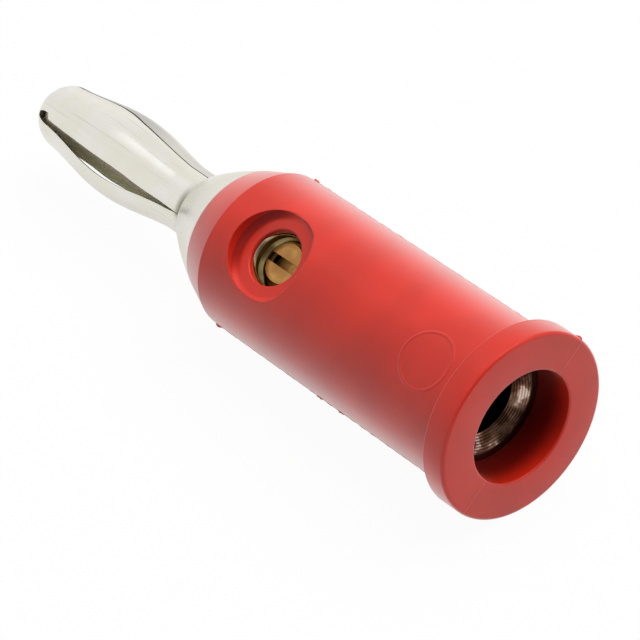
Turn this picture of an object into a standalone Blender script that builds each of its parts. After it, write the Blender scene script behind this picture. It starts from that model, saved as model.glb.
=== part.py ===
"""Banana plug with a side set screw.

The plug stands on its flat rear face: Z runs from that face to the tip of the pin, and the origin is
at the centre of the face. The set screw's hole faces -Y. Lengths are in metres.
"""

from math import asin, atan2, cos, pi, radians, sin, sqrt, tan

import bmesh
import bpy
from mathutils import Vector

mm = 0.001

# Barrel: turned brass, from the wire bore outward
BORE_RADIUS = 1.9 * mm
BORE_PAST_SCREW = 2.7 * mm
DRILL_POINT_ANGLE = radians(59)
FUNNEL_WIDTH = 0.78 * mm
FUNNEL_DEPTH = 0.55 * mm
BARREL_WALL = 1.55 * mm
BARREL_EDGE = 0.15 * mm

# Head of the barrel: tapers from the insulator to the lip that holds the leaves of the spring
HEAD_STEP = 0.3 * mm
HEAD_LENGTH = 3.05 * mm
HEAD_EDGE = 0.12 * mm
HEAD_BOW = 0.07 * mm
LIP_GAP = 0.11 * mm
LIP_THICKNESS = 0.12 * mm
LIP_SHOULDER = 0.16 * mm
GROOVE_DEPTH = 0.9 * mm

# Insulator: moulded round the barrel's size
INSULATOR_WALL = 1.05 * mm
BODY_LENGTH = 22 * mm
FLANGE_STEP = 0.66 * mm
FLANGE_HEIGHT = 1.5 * mm
FLANGE_EDGE = 0.2 * mm
FLANGE_ROOT = 0.2 * mm
FRONT_WALL = 0.34 * mm
FRONT_TAPER_LENGTH = 1.87 * mm
FRONT_EDGE = 0.08 * mm
REAR_LIP_WIDTH = 0.37 * mm
REAR_LIP_HEIGHT = 2.35 * mm
MOUTH_EDGE = 0.12 * mm

# Way in for the set screw, with a round spot face, and the shallow round mark near the flange
SCREW_FROM_FRONT = 5.8 * mm
ACCESS_STEP = 0.08 * mm
SPOT_FACE_WIDTH = 0.99 * mm
SPOT_FACE_FLOOR = 0.24 * mm
SPOT_FACE_FILLET = 0.4 * mm
TAP_COUNTERSINK = 0.16 * mm
MARK_HEIGHT = 3.85 * mm
MARK_RADIUS = 1.53 * mm
MARK_DEPTH = 0.3 * mm

# Set screw: slotted, with a half dog point
THREAD_RADIUS = 1.42 * mm
SCREW_LENGTH = 4.6 * mm
SCREW_EDGE = 0.25 * mm
DOG_RADIUS = 0.92 * mm
DOG_LENGTH = 0.72 * mm
DOG_EDGE = 0.22 * mm
DRIVER_SLOT_WIDTH = 0.5 * mm
DRIVER_SLOT_DEPTH = 0.8 * mm

# Contact spring: four leaves, folded from one cross-shaped blank over the end of the post
PIN_LENGTH = 14.1 * mm
CAGE_RADIUS = 1.86 * mm
BULGE = 0.59 * mm
LEAF_STRAIGHT = 1.9 * mm
LEAF_THICKNESS = 0.3 * mm
LEAF_COUNT = 4
LEAF_TURN = radians(15.5)
SLOT_START = radians(66)
SLOT_WIDTH_START = 0.6 * mm
SLOT_WIDTH_TIP = 0.31 * mm
SLOT_WIDTH_BULGE = 0.83 * mm
SLOT_WIDTH_ROOT = 0.12 * mm

# Fits
SEAT_GAP = 0.05 * mm
THREAD_CLEARANCE = 0.06 * mm

# Facets
BODY_SEGMENTS = 64
BARREL_SEGMENTS = 56
HOLE_SEGMENTS = 32
SCREW_SEGMENTS = 32
FILLET_STEPS = 3
BOW_STEPS = 4
DOME_STEPS = 6
SLOT_DOME_STEPS = 3
LEAF_COLUMNS = 8
LEAF_ROWS = 20
SLOPE_STEP = 0.01 * mm
SMOOTH_UP_TO = radians(30)
ON_AXIS = 1e-6 * mm

# Radii, from the bore outward
BARREL_RADIUS = BORE_RADIUS + BARREL_WALL
SEAT_RADIUS = BARREL_RADIUS + SEAT_GAP
BODY_RADIUS = SEAT_RADIUS + INSULATOR_WALL
FLANGE_RADIUS = BODY_RADIUS + FLANGE_STEP
FRONT_FACE_RADIUS = SEAT_RADIUS + FRONT_WALL
MOUTH_RADIUS = SEAT_RADIUS - REAR_LIP_WIDTH
HEAD_RADIUS = BARREL_RADIUS + HEAD_STEP
POST_RADIUS = CAGE_RADIUS - LEAF_THICKNESS - SEAT_GAP
GROOVE_RADIUS = CAGE_RADIUS + LIP_GAP
LIP_RADIUS = GROOVE_RADIUS + LIP_THICKNESS
TAPPED_RADIUS = THREAD_RADIUS + THREAD_CLEARANCE
ACCESS_RADIUS = TAPPED_RADIUS + ACCESS_STEP
SPOT_FACE_RADIUS = ACCESS_RADIUS + SPOT_FACE_WIDTH
SPOT_FACE_LEVEL = SEAT_RADIUS + SPOT_FACE_FLOOR
DOG_FLAT_RADIUS = DOG_RADIUS - DOG_EDGE

# Heights, from the rear face to the tip
BARREL_REAR_Z = REAR_LIP_HEIGHT + SEAT_GAP
SCREW_Z = BODY_LENGTH - SCREW_FROM_FRONT
HEAD_SEAT_Z = BODY_LENGTH + SEAT_GAP
SHOULDER_Z = HEAD_SEAT_Z + HEAD_LENGTH
GROOVE_FLOOR_Z = SHOULDER_Z - GROOVE_DEPTH
LEAF_END_Z = GROOVE_FLOOR_Z + SEAT_GAP
TIP_Z = SHOULDER_Z + PIN_LENGTH
DOME_Z = TIP_Z - CAGE_RADIUS
BOW_START_Z = SHOULDER_Z + LEAF_STRAIGHT

# The dog point rests on the far side of the bore
SCREW_SEAT = sqrt(BORE_RADIUS**2 - DOG_FLAT_RADIUS**2) - SEAT_GAP


def make_material(name, colour, roughness, metallic=0.0):
    material = bpy.data.materials.new(name)
    material.use_nodes = True
    shader = material.node_tree.nodes["Principled BSDF"]
    shader.inputs["Base Color"].default_value = (*colour, 1.0)
    shader.inputs["Roughness"].default_value = roughness
    shader.inputs["Metallic"].default_value = metallic
    return material


def object_from(name, mesh_builder, material=None):
    """A new object in the scene holding a bmesh, with its faces pointing out and shaded smooth."""
    bmesh.ops.recalc_face_normals(mesh_builder, faces=mesh_builder.faces)
    mesh = bpy.data.meshes.new(name)
    mesh_builder.to_mesh(mesh)
    mesh_builder.free()
    mesh.shade_smooth()
    mesh.set_sharp_from_angle(angle=SMOOTH_UP_TO)
    if material:
        mesh.materials.append(material)
    created = bpy.data.objects.new(name, mesh)
    bpy.context.scene.collection.objects.link(created)
    return created


def rounded(corners):
    """An outline with each corner (radius, height, fillet) turned into an arc of its fillet."""
    outline = []
    for index, (r, z, fillet) in enumerate(corners):
        here = Vector((r, z))
        if fillet == 0:
            outline.append(here)
            continue
        back = (Vector(corners[index - 1][:2]) - here).normalized()
        ahead = (Vector(corners[(index + 1) % len(corners)][:2]) - here).normalized()
        half = back.angle(ahead) / 2
        centre = here + (back + ahead).normalized() * (fillet / sin(half))
        start = here + back * (fillet / tan(half)) - centre
        end = here + ahead * (fillet / tan(half)) - centre
        turn = atan2(start.x * end.y - start.y * end.x, start.dot(end))
        for step in range(FILLET_STEPS + 1):
            angle = turn * step / FILLET_STEPS
            spun = (
                start.x * cos(angle) - start.y * sin(angle),
                start.x * sin(angle) + start.y * cos(angle),
            )
            outline.append(centre + Vector(spun))
    return outline


def outline_of(corners):
    return [Vector(corner) for corner in corners]


def bowed(start, end, bow):
    """Points from start to end along a shallow curve that bulges outward by the bow."""
    outward = Vector((start.y - end.y, end.x - start.x)).normalized()
    shares = [step / BOW_STEPS for step in range(BOW_STEPS + 1)]
    return [start.lerp(end, share) + outward * (4 * bow * share * (1 - share)) for share in shares]


def dome(radius, centre_z):
    """The quarter outline of a round end, from its top on the axis to its widest ring."""
    angles = [pi / 2 * step / DOME_STEPS for step in range(DOME_STEPS + 1)]
    return [Vector((radius * sin(angle), centre_z + radius * cos(angle))) for angle in angles]


def turned(outline, segments):
    """A solid of revolution about Z. The outline is a closed ring, or starts and ends on the axis."""
    from_axis = outline[0].x < ON_AXIS
    builder = bmesh.new()
    angles = [2 * pi * step / segments for step in range(segments)]
    rings = []
    for r, z in outline:
        if r < ON_AXIS:
            rings.append([builder.verts.new((0, 0, z))] * segments)
        else:
            rings.append([builder.verts.new((r * cos(a), r * sin(a), z)) for a in angles])
    followers = rings[1:] if from_axis else rings[1:] + rings[:1]
    for ring, following in zip(rings, followers):
        for step in range(segments):
            after = (step + 1) % segments
            corners = (ring[step], ring[after], following[after], following[step])
            builder.faces.new(dict.fromkeys(corners))
    return builder


def face_sideways(cutter, height):
    """Turns an object made along Z so that it points along -Y, with its axis at this height."""
    cutter.rotation_euler = (pi / 2, 0, 0)
    cutter.location.z = height


def cut(target, cutter):
    """Takes the cutter's shape out of the target."""
    cutter.hide_render = True
    cutter.display_type = "WIRE"
    modifier = target.modifiers.new(cutter.name, "BOOLEAN")
    modifier.operation = "DIFFERENCE"
    modifier.object = cutter


def make_insulator(material):
    """The moulded handle: flange and cavity behind, tapered front, screw access and round mark."""
    outline = rounded(
        [
            (MOUTH_RADIUS, 0, MOUTH_EDGE),
            (FLANGE_RADIUS, 0, FLANGE_EDGE),
            (FLANGE_RADIUS, FLANGE_HEIGHT, FLANGE_EDGE),
            (BODY_RADIUS, FLANGE_HEIGHT, FLANGE_ROOT),
            (BODY_RADIUS, BODY_LENGTH - FRONT_TAPER_LENGTH, 0),
            (FRONT_FACE_RADIUS, BODY_LENGTH, FRONT_EDGE),
            (SEAT_RADIUS, BODY_LENGTH, 0),
            (SEAT_RADIUS, REAR_LIP_HEIGHT, 0),
            (MOUTH_RADIUS, REAR_LIP_HEIGHT, 0),
        ]
    )
    insulator = object_from("insulator", turned(outline, BODY_SEGMENTS), material)

    beyond = FLANGE_RADIUS + SPOT_FACE_RADIUS
    access = rounded(
        [
            (0, BORE_RADIUS, 0),
            (ACCESS_RADIUS, BORE_RADIUS, 0),
            (ACCESS_RADIUS, SPOT_FACE_LEVEL, 0),
            (SPOT_FACE_RADIUS, SPOT_FACE_LEVEL, SPOT_FACE_FILLET),
            (SPOT_FACE_RADIUS, beyond, 0),
            (0, beyond, 0),
        ]
    )
    access_cutter = object_from("access_cutter", turned(access, HOLE_SEGMENTS))
    face_sideways(access_cutter, SCREW_Z)
    cut(insulator, access_cutter)

    mark_level = BODY_RADIUS - MARK_DEPTH
    mark = [(0, mark_level), (MARK_RADIUS, mark_level), (MARK_RADIUS, beyond), (0, beyond)]
    mark_cutter = object_from("mark_cutter", turned(outline_of(mark), HOLE_SEGMENTS))
    face_sideways(mark_cutter, MARK_HEIGHT)
    cut(insulator, mark_cutter)
    return insulator


def make_barrel(material):
    """The turned metal body: wire funnel and bore, tapped cross hole, tapered head, groove and post."""
    bore_end = SCREW_Z + BORE_PAST_SCREW
    head_front = Vector((LIP_RADIUS + LIP_SHOULDER, SHOULDER_Z - HEAD_EDGE))
    head_back = Vector((HEAD_RADIUS, HEAD_SEAT_Z + HEAD_EDGE))
    lip = [
        (POST_RADIUS, GROOVE_FLOOR_Z),
        (GROOVE_RADIUS, GROOVE_FLOOR_Z),
        (GROOVE_RADIUS, SHOULDER_Z),
        (LIP_RADIUS, SHOULDER_Z),
    ]
    rear = [
        (HEAD_RADIUS, HEAD_SEAT_Z),
        (BARREL_RADIUS, HEAD_SEAT_Z),
        (BARREL_RADIUS, BARREL_REAR_Z + BARREL_EDGE),
        (BARREL_RADIUS - BARREL_EDGE, BARREL_REAR_Z),
        (BORE_RADIUS + FUNNEL_WIDTH, BARREL_REAR_Z),
        (BORE_RADIUS, BARREL_REAR_Z + FUNNEL_DEPTH),
        (BORE_RADIUS, bore_end),
        (0, bore_end + BORE_RADIUS / tan(DRILL_POINT_ANGLE)),
    ]
    outline = dome(POST_RADIUS, DOME_Z) + outline_of(lip)
    outline += bowed(head_front, head_back, HEAD_BOW) + outline_of(rear)
    barrel = object_from("barrel", turned(outline, BARREL_SEGMENTS), material)

    mouth_radius = TAPPED_RADIUS + TAP_COUNTERSINK
    tapped = [
        (0, BORE_RADIUS / 2),
        (TAPPED_RADIUS, BORE_RADIUS / 2),
        (TAPPED_RADIUS, BARREL_RADIUS - TAP_COUNTERSINK),
        (mouth_radius, BARREL_RADIUS),
        (mouth_radius, BODY_RADIUS),
        (0, BODY_RADIUS),
    ]
    tap_cutter = object_from("tap_cutter", turned(outline_of(tapped), HOLE_SEGMENTS))
    face_sideways(tap_cutter, SCREW_Z)
    cut(barrel, tap_cutter)
    return barrel


def bow_share(z):
    """How far a leaf bows out at this height: 0 where it lies straight, 1 at its widest."""
    middle = (BOW_START_Z + DOME_Z) / 2
    place = min(abs(z - middle) / (DOME_Z - middle), 1)
    return (cos(pi / 2 * place) + (1 + cos(pi * place)) / 2) / 2


def leaf_radius(z):
    return CAGE_RADIUS + BULGE * bow_share(z)


def leaf_half_angle(radius, slot_width):
    """Half of the arc that a leaf spans, where the spring has this radius and its slots this width."""
    return pi / LEAF_COUNT - asin(slot_width / 2 / radius)


def spring_rows():
    """Each row down the spring as (radius, lean of the outline from the axis, height, half angle)."""
    rows = []
    slot_radius = CAGE_RADIUS * sin(SLOT_START)
    slot_leans = [
        SLOT_START + (pi / 2 - SLOT_START) * step / SLOT_DOME_STEPS
        for step in range(SLOT_DOME_STEPS + 1)
    ]
    for lean in [SLOT_START * step / DOME_STEPS for step in range(1, DOME_STEPS)] + slot_leans:
        radius = CAGE_RADIUS * sin(lean)
        share = max(lean - SLOT_START, 0) / (pi / 2 - SLOT_START)
        slot_width = SLOT_WIDTH_START + (SLOT_WIDTH_TIP - SLOT_WIDTH_START) * share
        half_angle = leaf_half_angle(max(radius, slot_radius), slot_width)
        rows.append((radius, lean, DOME_Z + CAGE_RADIUS * cos(lean), half_angle))
    for step in range(1, LEAF_ROWS + 1):
        share = step / LEAF_ROWS
        z = DOME_Z + (LEAF_END_Z - DOME_Z) * share
        radius = leaf_radius(z)
        rise = leaf_radius(z - SLOPE_STEP) - leaf_radius(z + SLOPE_STEP)
        straight_width = SLOT_WIDTH_TIP + (SLOT_WIDTH_ROOT - SLOT_WIDTH_TIP) * share
        slot_width = straight_width + (SLOT_WIDTH_BULGE - straight_width) * bow_share(z)
        half_angle = leaf_half_angle(radius, slot_width)
        rows.append((radius, pi / 2 - atan2(rise, 2 * SLOPE_STEP), z, half_angle))
    return rows


def leaf_point(row, leaf, across, inset):
    """A point of a leaf: across runs from -1 to 1 over its width, inset is the depth under its skin."""
    radius, lean, z, half_angle = row
    angle = LEAF_TURN + 2 * pi * leaf / LEAF_COUNT + half_angle * across
    r = radius - inset * sin(lean)
    return (r * cos(angle), r * sin(angle), z - inset * cos(lean))


def add_skin(builder, rows, inset):
    """The outer or inner skin of the spring: returns its vertices by leaf, row and column."""
    columns = [-1 + 2 * column / LEAF_COLUMNS for column in range(LEAF_COLUMNS + 1)]
    grid = [
        [[builder.verts.new(leaf_point(row, leaf, across, inset)) for across in columns] for row in rows]
        for leaf in range(LEAF_COUNT)
    ]
    apex = builder.verts.new((0, 0, TIP_Z - inset))
    for leaf in range(LEAF_COUNT):
        beside = grid[(leaf + 1) % LEAF_COUNT]
        for column in range(LEAF_COLUMNS):
            builder.faces.new((apex, grid[leaf][0][column], grid[leaf][0][column + 1]))
        builder.faces.new((apex, grid[leaf][0][-1], beside[0][0]))
        for upper in range(len(rows) - 1):
            above, below = grid[leaf][upper], grid[leaf][upper + 1]
            for column in range(LEAF_COLUMNS):
                builder.faces.new((above[column], below[column], below[column + 1], above[column + 1]))
            if upper + 1 < DOME_STEPS:
                builder.faces.new((above[-1], below[-1], beside[upper + 1][0], beside[upper][0]))
    return grid


def make_contact_spring(material):
    """Four leaves bowed out round the post, joined in a dome over its end and split by four slots."""
    rows = spring_rows()
    builder = bmesh.new()
    outer = add_skin(builder, rows, 0)
    inner = add_skin(builder, rows, LEAF_THICKNESS)
    slot_row = DOME_STEPS - 1
    for leaf in range(LEAF_COUNT):
        beside = (leaf + 1) % LEAF_COUNT
        for row in range(slot_row, len(rows) - 1):
            for side in (0, -1):
                edge = (outer[leaf][row][side], outer[leaf][row + 1][side])
                facing = (inner[leaf][row + 1][side], inner[leaf][row][side])
                builder.faces.new(edge + facing)
        for column in range(LEAF_COLUMNS):
            edge = (outer[leaf][-1][column], outer[leaf][-1][column + 1])
            facing = (inner[leaf][-1][column + 1], inner[leaf][-1][column])
            builder.faces.new(edge + facing)
        edge = (outer[leaf][slot_row][-1], outer[beside][slot_row][0])
        facing = (inner[beside][slot_row][0], inner[leaf][slot_row][-1])
        builder.faces.new(edge + facing)
    return object_from("contact_spring", builder, material)


def make_set_screw(material):
    """The set screw along its own axis, dog point first, turned to lie in its hole."""
    outline = [
        (0, 0),
        (DOG_FLAT_RADIUS, 0),
        (DOG_RADIUS, DOG_EDGE),
        (DOG_RADIUS, DOG_LENGTH),
        (THREAD_RADIUS - SCREW_EDGE, DOG_LENGTH),
        (THREAD_RADIUS, DOG_LENGTH + SCREW_EDGE),
        (THREAD_RADIUS, SCREW_LENGTH - SCREW_EDGE),
        (THREAD_RADIUS - SCREW_EDGE, SCREW_LENGTH),
        (0, SCREW_LENGTH),
    ]
    screw = object_from("set_screw", turned(outline_of(outline), SCREW_SEGMENTS), material)
    face_sideways(screw, SCREW_Z)
    screw.location.y = SCREW_SEAT

    slot = bmesh.new()
    bmesh.ops.create_cube(slot, size=1)
    bmesh.ops.scale(slot, vec=(DRIVER_SLOT_WIDTH, 3 * THREAD_RADIUS, 2 * DRIVER_SLOT_DEPTH), verts=slot.verts)
    slot_cutter = object_from("slot_cutter", slot)
    slot_cutter.parent = screw
    slot_cutter.location.z = SCREW_LENGTH
    cut(screw, slot_cutter)
    return screw


def main():
    for leftover in list(bpy.data.objects):
        bpy.data.objects.remove(leftover)
    red_plastic = make_material("red_plastic", (0.62, 0.03, 0.03), 0.38)
    nickel = make_material("nickel_plate", (0.72, 0.70, 0.66), 0.16, 1.0)
    spring_nickel = make_material("spring_nickel", (0.74, 0.72, 0.68), 0.12, 1.0)
    brass = make_material("screw_brass", (0.78, 0.42, 0.14), 0.3, 1.0)
    make_insulator(red_plastic)
    make_barrel(nickel)
    make_contact_spring(spring_nickel)
    make_set_screw(brass)


if __name__ == "__main__":
    main()
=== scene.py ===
"""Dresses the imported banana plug: finishes, screw threads, moulding marks, table, lamps and camera."""

from bisect import bisect
from math import atan2, cos, pi, radians, sin, sqrt, tan, tau

import bmesh
import bpy
from bpy.props import FloatProperty, FloatVectorProperty, IntProperty, PointerProperty
from mathutils import Matrix, Vector
from mathutils import noise as lumps


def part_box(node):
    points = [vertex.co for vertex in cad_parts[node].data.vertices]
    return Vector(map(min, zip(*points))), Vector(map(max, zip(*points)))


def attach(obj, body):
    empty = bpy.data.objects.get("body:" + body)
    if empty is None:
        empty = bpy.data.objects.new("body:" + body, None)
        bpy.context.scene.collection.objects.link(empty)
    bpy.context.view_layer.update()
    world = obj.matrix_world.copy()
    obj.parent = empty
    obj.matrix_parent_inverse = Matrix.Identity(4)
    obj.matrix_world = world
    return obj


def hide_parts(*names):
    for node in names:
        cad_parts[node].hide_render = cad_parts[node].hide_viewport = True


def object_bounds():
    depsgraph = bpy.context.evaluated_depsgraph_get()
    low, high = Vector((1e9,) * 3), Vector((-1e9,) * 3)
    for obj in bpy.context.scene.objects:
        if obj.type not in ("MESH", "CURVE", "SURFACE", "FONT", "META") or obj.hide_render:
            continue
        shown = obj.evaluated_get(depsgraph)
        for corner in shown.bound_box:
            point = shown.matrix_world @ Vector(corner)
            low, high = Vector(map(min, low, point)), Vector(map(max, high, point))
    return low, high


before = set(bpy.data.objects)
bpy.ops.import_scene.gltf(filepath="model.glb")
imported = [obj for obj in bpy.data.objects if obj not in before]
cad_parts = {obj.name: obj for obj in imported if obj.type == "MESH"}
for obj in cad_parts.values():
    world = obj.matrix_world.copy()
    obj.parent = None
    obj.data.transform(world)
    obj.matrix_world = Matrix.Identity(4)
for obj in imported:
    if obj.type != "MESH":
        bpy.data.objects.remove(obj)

CAD_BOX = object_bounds()

bl_info = {
    "name": "Banana Plug Dresser",
    "version": (1, 0, 0),
    "blender": (4, 5, 0),
    "location": "3D View > Sidebar > Banana Plug",
    "description": "Finishes, threads and moulding marks for a banana plug, with its table and lamps",
    "category": "Object",
}

# Heights over the rear face
BARREL_REAR = 0.0024
HEAD_SEAT = 0.02205
PIN_TIP = 0.0392

# Faces that meet at a larger angle keep a sharp edge
SHARP_ANGLE = radians(38)

# A radius so small that the cap inside it can't be seen
PINHOLE = 0.00002


def length(name, description, default):
    """A length in metres, shown with the scene's units."""
    units = {"unit": "LENGTH", "subtype": "DISTANCE", "precision": 6}
    return FloatProperty(name=name, description=description, default=default, **units)


def share(name, description, default):
    """A number from nothing to all."""
    limits = {"min": 0, "max": 1}
    return FloatProperty(name=name, description=description, default=default, subtype="FACTOR", **limits)


def colour(name, description, default):
    """A linear colour."""
    limits = {"size": 3, "min": 0, "max": 1}
    return FloatVectorProperty(name=name, description=description, default=default, subtype="COLOR", **limits)


def vector(name, description, default):
    """A place or a direction."""
    return FloatVectorProperty(name=name, description=description, default=default, size=3)


def strength(name, description, default):
    """How strong a lamp is."""
    return FloatProperty(name=name, description=description, default=default, min=0)


def whole_number(name, description, default, low, high):
    """A whole number between two limits."""
    return IntProperty(name=name, description=description, default=default, min=low, max=high)


class InsulatorLook(bpy.types.PropertyGroup):
    """Finish and moulding marks of the red insulator."""

    red: colour("Red", "Colour of the moulded plastic", (0.62, 0.020, 0.006))
    # Paler red for the edges, partly real wear and partly a painted highlight, and for the parting line as a
    # painted highlight.
    edge_highlight_and_rub: colour("Rubbed Red", "Colour where handling has rubbed an edge", (0.72, 0.08, 0.06))
    # Painted shade: the wire mouth and the recess wall facing the tip are darkened towards this colour.
    painted_shade_red: colour("Deep Red", "Colour down in the wire mouth", (0.14, 0.004, 0.003))
    roughness: share("Roughness", "How dull the moulded skin is", 0.33)
    haze: share("Haze", "Gloss of the skin where it is seen edge on", 1.0)
    fuzz: share("Fuzz", "Warm sheen of the finely scuffed skin", 0.25)
    edge_radius: length("Edge Radius", "Softness of the moulded edges", 0.00007)
    grain_depth: length("Grain Depth", "Height of the fine grain on the skin", 0.000006)
    parting_width: length("Parting Width", "Width of the line where the mould halves meet", 0.00005)
    ridge_height: length("Ridge Height", "How far the parting ridge stands off the body", 0.00003)
    body_radius: length("Body Radius", "Outside radius of the straight body", 0.00455)
    body_length: length("Body Length", "Height of the front face over the rear face", 0.022)
    taper_length: length("Taper Length", "Length of the tapered front", 0.00187)
    front_radius: length("Front Radius", "Outside radius at the front face", 0.00384)
    seat_radius: length("Seat Radius", "Radius of the hole that holds the barrel", 0.0035)
    flange_radius: length("Flange Radius", "Outside radius of the rear flange", 0.00521)
    flange_height: length("Flange Height", "Height of the rear flange", 0.0015)
    mouth_radius: length("Mouth Radius", "Radius of the wire mouth in the rear face", 0.00313)
    lip_height: length("Lip Height", "Depth of the mouth up to the barrel's seat", 0.00239)
    recess_radius: length("Recess Radius", "Radius of the flat recess round the screw's hole", 0.00255)
    recess_level: length("Recess Level", "Distance of the recess's floor from the axis", 0.00374)
    recess_fillet: length("Recess Fillet", "Rounding where the recess's wall meets its floor", 0.0004)
    access_radius: length("Access Radius", "Radius of the screw's hole through the wall", 0.00156)
    mark_radius: length("Mark Radius", "Radius of the round ejector mark", 0.00153)
    mark_height: length("Mark Height", "Height of the mark's middle over the rear face", 0.00385)
    mark_flash: length("Mark Flash", "Height of the thin rim of plastic round the mark", 0.00002)


class BarrelLook(bpy.types.PropertyGroup):
    """Finish of the plated barrel and size of its tapped thread."""

    nickel: colour("Nickel", "Colour of the plating", (0.77, 0.755, 0.70))
    # Bare brass, darkened by painted shade so that the tapped hole reads dark.
    bare_brass_and_shade: colour("Bare Brass", "Colour inside the tapped hole", (0.34, 0.27, 0.11))
    # Painted light: the post is a bright dull colour so that it reads lit through the slots.
    post: colour("Post", "Colour of the dull post inside the spring", (0.86, 0.78, 0.62))
    # Painted shade: the groove that takes the leaves is darkened to this colour.
    stain_and_shade: colour("Stained", "Colour down in the groove that takes the leaves", (0.10, 0.09, 0.07))
    # The funnel's brown is partly tarnish and partly a painted reflection of the dark red mouth; its bright
    # streaks are partly burnish and partly painted glints.
    funnel: colour("Funnel", "Colour of the bare metal in the turned funnel", (0.20, 0.11, 0.075))
    funnel_burnish_and_glint: colour("Funnel Shine", "Colour of the funnel's burnished streaks", (0.60, 0.48, 0.40))
    # Painted shade: the bore is nearly black, the shade deep down in it.
    bore: colour("Bore", "Colour down in the wire bore", (0.05, 0.035, 0.02))
    roughness: share("Roughness", "How dull the plating is", 0.27)
    edge_radius: length("Edge Radius", "Softness of the turned edges", 0.00004)
    line_spacing: length("Line Spacing", "Distance between turning lines", 0.00005)
    hole_height: length("Hole Height", "Height of the tapped hole's axis over the rear face", 0.0162)
    hole_radius: length("Hole Radius", "Radius of the tapped hole in the solid", 0.00148)
    barrel_radius: length("Barrel Radius", "Outside radius of the barrel at the hole", 0.00345)
    bore_radius: length("Bore Radius", "Radius of the wire bore behind the hole", 0.0019)
    thread_reach: length("Thread Reach", "How far the thread stands into the hole", 0.00019)
    funnel_width: length("Funnel Width", "Width of the turned funnel round the bore", 0.00083)
    funnel_depth: length("Funnel Depth", "Depth of the turned funnel", 0.00055)
    funnel_rings: whole_number("Funnel Rings", "Tool rings in the funnel", 7, 0, 30)
    ring_depth: length("Ring Depth", "Depth of the funnel's tool rings", 0.000018)
    head_radius: length("Head Radius", "Widest radius of the head", 0.00375)
    head_bow: length("Head Bow", "How far the head's taper bulges", 0.00007)
    shoulder_height: length("Shoulder Height", "Height of the head's front over the rear face", 0.0251)
    groove_depth: length("Groove Depth", "Depth of the groove that takes the leaves", 0.0009)
    lip_radius: length("Lip Radius", "Radius of the groove's outer wall", 0.00197)
    post_radius: length("Post Radius", "Radius of the post inside the leaves", 0.00151)


class SpringLook(bpy.types.PropertyGroup):
    """Finish of the four-leaf contact spring."""

    nickel: colour("Nickel", "Colour of the plated strip", (0.77, 0.755, 0.70))
    # Painted light: the leaves' inner side is brighter than the plating, as if lit through the slots.
    inside: colour("Inside", "Colour of the leaves' inner side", (0.88, 0.85, 0.76))
    # Painted shade on the leaves' cut edges along the slots.
    cut_edge_shade: colour("Cut Edge", "Colour of the leaves' cut edges", (0.26, 0.22, 0.14))
    roughness: share("Roughness", "How dull the strip is", 0.25)
    edge_radius: length("Edge Radius", "Softness of the strip's edges", 0.00003)
    line_spacing: length("Line Spacing", "Distance between drawing lines", 0.00009)
    strip_thickness: length("Strip Thickness", "Thickness of one leaf", 0.00014)
    cage_radius: length("Cage Radius", "Radius of the spring where its leaves lie straight", 0.00186)
    bulge: length("Bulge", "How far the leaves bow out", 0.00059)
    straight: length("Straight Length", "Length of the leaves' straight roots", 0.0019)
    # Painted shadow: the leaves are darkened where they enter the barrel, most beside the slot.
    stain_and_shade: colour("Stained", "Colour of the leaves where they enter the barrel", (0.17, 0.16, 0.11))
    # Painted shade: the far leaf's flank past the slot is darkened to this colour.
    flank: colour("Flank", "Colour of the far leaf's tarnished flank", (0.46, 0.44, 0.41))
    edge_slant: length("Edge Slant", "How much wider a slot is inside than outside", 0.0001)


class ScrewLook(bpy.types.PropertyGroup):
    """Sizes and finish of the brass set screw."""

    brass: colour("Brass", "Colour of the turned brass", (0.68, 0.41, 0.13))
    tarnish: colour("Tarnish", "Colour in the thread's roots", (0.34, 0.16, 0.05))
    roughness: share("Roughness", "How dull the brass is", 0.28)
    edge_radius: length("Edge Radius", "Softness of the cut edges", 0.00003)
    line_spacing: length("Line Spacing", "Distance between turning lines", 0.00004)
    pitch: length("Pitch", "Distance from crest to crest", 0.000635)
    thread_depth: length("Thread Depth", "Depth of the thread's root under its crest", 0.00033)
    end_chamfer: length("End Chamfer", "Chamfer where the thread starts and ends", 0.00028)
    dog_radius: length("Dog Radius", "Radius of the plain point", 0.00092)
    dog_length: length("Dog Length", "Length of the plain point", 0.00072)
    dog_chamfer: length("Dog Chamfer", "Chamfer at the tip of the point", 0.00022)
    slot_width: length("Slot Width", "Width of the driver slot", 0.0005)
    slot_depth: length("Slot Depth", "Depth of the driver slot", 0.0008)
    steps: whole_number("Steps", "Points round the thread", 96, 24, 256)


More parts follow.
